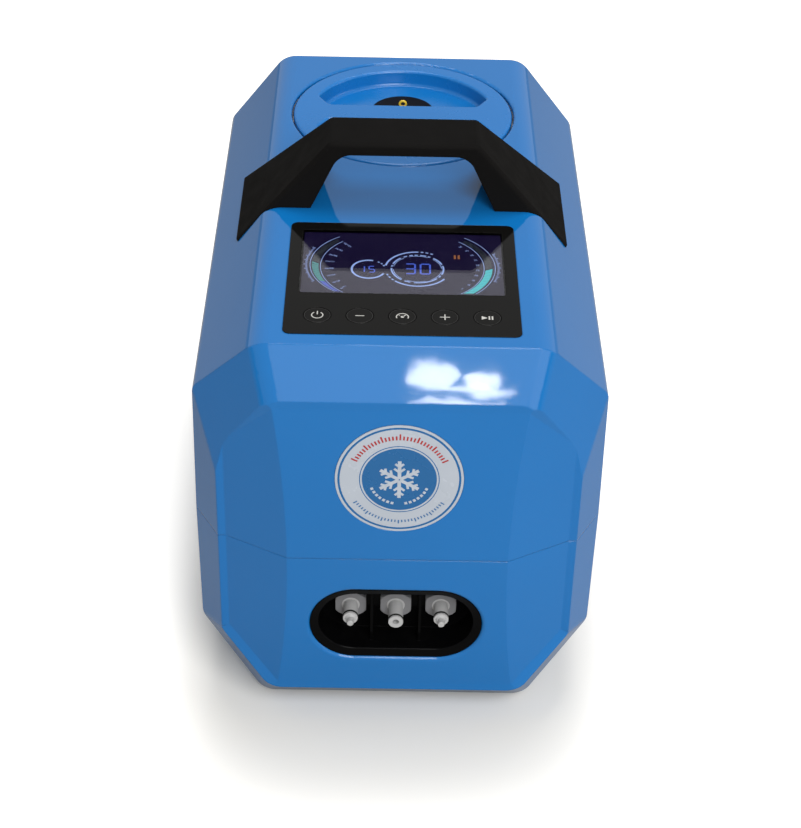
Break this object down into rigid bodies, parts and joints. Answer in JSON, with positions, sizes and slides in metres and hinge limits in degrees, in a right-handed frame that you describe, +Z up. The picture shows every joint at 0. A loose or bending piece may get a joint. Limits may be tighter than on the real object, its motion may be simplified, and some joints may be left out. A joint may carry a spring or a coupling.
{
  "type": "hot cold therapy machine",
  "caption": "Faceted hot and cold water therapy unit with a carry handle, round tank lid, display with push keys and a recessed coupling port in front.",
  "frame": {"origin": "middle of the case in plan, on the surface that the feet stand on", "axes": "+X to the right of someone facing the coupling port, +Y to the back, +Z up"},
  "size_m": [0.222, 0.3446, 0.2926],
  "materials": {
    "case_blue": "gloss",
    "handle_black": "satin",
    "bezel_black": "gloss",
    "window_smoke": "gloss",
    "screen_blue": "gloss",
    "key_black": "satin",
    "badge_white": "gloss",
    "port_black": "gloss",
    "coupling_white": "satin",
    "coupling_grey": "satin",
    "seal_black": "matte",
    "gasket_grey": "matte",
    "vent_black": "satin",
    "vent_yellow": "satin",
    "collar_white": "satin",
    "tank_white": "satin",
    "foam_grey": "matte",
    "grille_black": "satin",
    "sheet_aluminium": "satin",
    "sink_aluminium": "satin",
    "module_ceramic": "matte",
    "motor_steel": "satin",
    "screw_steel": "satin",
    "pump_black": "satin",
    "impeller_white": "satin",
    "air_pump_grey": "satin",
    "supply_metal": "satin",
    "board_green": "satin",
    "hose_clear": "satin",
    "inlet_black": "satin",
    "rocker_black": "satin",
    "foot_black": "matte"
  },
  "bodies": {
    "housing": {"upper_housing": "case_blue", "lower_housing": "case_blue", "rear_grille": "grille_black", "housing_screws": "screw_steel", "internal_screws": "screw_steel", "carry_handle": "handle_black", "handle_screws": "screw_steel", "badge_disc": "badge_white", "display_bezel": "bezel_black", "display_window": "window_smoke", "lcd_panel": "screen_blue", "display_board": "board_green", "button_switches": "pump_black", "lid_collar": "collar_white", "water_tank": "tank_white", "tank_jacket": "foam_grey", "tank_strainer": "impeller_white", "tank_frame": "sheet_aluminium", "port_housing": "port_black", "water_coupling_left": "coupling_white", "water_coupling_right": "coupling_white", "air_coupling": "coupling_white", "coupling_nuts": "coupling_white", "coupling_seals": "seal_black", "peltier_modules": "module_ceramic", "cold_block": "sink_aluminium", "heatsink": "sink_aluminium", "fan_frame": "grille_black", "chassis_plate": "sheet_aluminium", "pump_motor": "motor_steel", "pump_volute": "pump_black", "air_pump": "air_pump_grey", "air_valve": "motor_steel", "power_supply": "supply_metal", "control_board": "board_green", "power_inlet": "inlet_black", "pump_hose": "hose_clear", "block_hose": "hose_clear", "supply_hose": "hose_clear", "return_hose": "hose_clear", "air_hose": "hose_clear", "foot_front_left": "foot_black", "foot_front_right": "foot_black", "foot_back_left": "foot_black", "foot_back_right": "foot_black"},
    "lid": {"tank_lid": "case_blue", "lid_skirt": "case_blue", "lid_vent_base": "vent_black", "lid_vent_pin": "vent_yellow"},
    "lid_seal": {"lid_gasket": "gasket_grey"},
    "poppet_left": {"valve_poppet_left": "coupling_grey"},
    "poppet_right": {"valve_poppet_right": "coupling_grey"},
    "fan_rotor": {"fan_rotor": "grille_black"},
    "pump_impeller": {"pump_impeller": "impeller_white"},
    "power_rocker": {"power_rocker": "rocker_black"},
    "key_power": {"button_power": "key_black"},
    "key_minus": {"button_minus": "key_black"},
    "key_mode": {"button_mode": "key_black"},
    "key_plus": {"button_plus": "key_black"},
    "key_play_pause": {"button_play_pause": "key_black"}
  },
  "joints": [
    {"name": "power_press", "type": "slide", "parent": "housing", "child": "key_power", "axis": [0, 0, -1], "range_m": [0, 0.0006], "stiffness_N_per_m": 3000},
    {"name": "minus_press", "type": "slide", "parent": "housing", "child": "key_minus", "axis": [0, 0, -1], "range_m": [0, 0.0006], "stiffness_N_per_m": 3000},
    {"name": "mode_press", "type": "slide", "parent": "housing", "child": "key_mode", "axis": [0, 0, -1], "range_m": [0, 0.0006], "stiffness_N_per_m": 3000},
    {"name": "plus_press", "type": "slide", "parent": "housing", "child": "key_plus", "axis": [0, 0, -1], "range_m": [0, 0.0006], "stiffness_N_per_m": 3000},
    {"name": "play_pause_press", "type": "slide", "parent": "housing", "child": "key_play_pause", "axis": [0, 0, -1], "range_m": [0, 0.0006], "stiffness_N_per_m": 3000},
    {"name": "lid_lift", "type": "slide", "parent": "housing", "child": "lid_seal", "axis": [0, 0, 1], "range_m": [0, 0.12]},
    {"name": "lid_turn", "type": "hinge", "parent": "lid_seal", "child": "lid", "pos_m": [0, 0.0976, 0.25], "axis": [0, 0, -1], "range_deg": [0, 60]},
    {"name": "left_poppet_push", "type": "slide", "parent": "housing", "child": "poppet_left", "axis": [0, 1, 0], "range_m": [0, 0.003], "stiffness_N_per_m": 900},
    {"name": "right_poppet_push", "type": "slide", "parent": "housing", "child": "poppet_right", "axis": [0, 1, 0], "range_m": [0, 0.003], "stiffness_N_per_m": 900},
    {"name": "fan_spin", "type": "hinge", "parent": "housing", "child": "fan_rotor", "pos_m": [-0.022, 0.145, 0.053], "axis": [0, 1, 0], "continuous": true},
    {"name": "impeller_spin", "type": "hinge", "parent": "housing", "child": "pump_impeller", "pos_m": [-0.036, -0.061, 0.055], "axis": [0, 0, 1], "continuous": true},
    {"name": "power_rock", "type": "hinge", "parent": "housing", "child": "power_rocker", "pos_m": [0.057, 0.1666, 0.071], "axis": [1, 0, 0], "range_deg": [0, 18]}
  ]
}
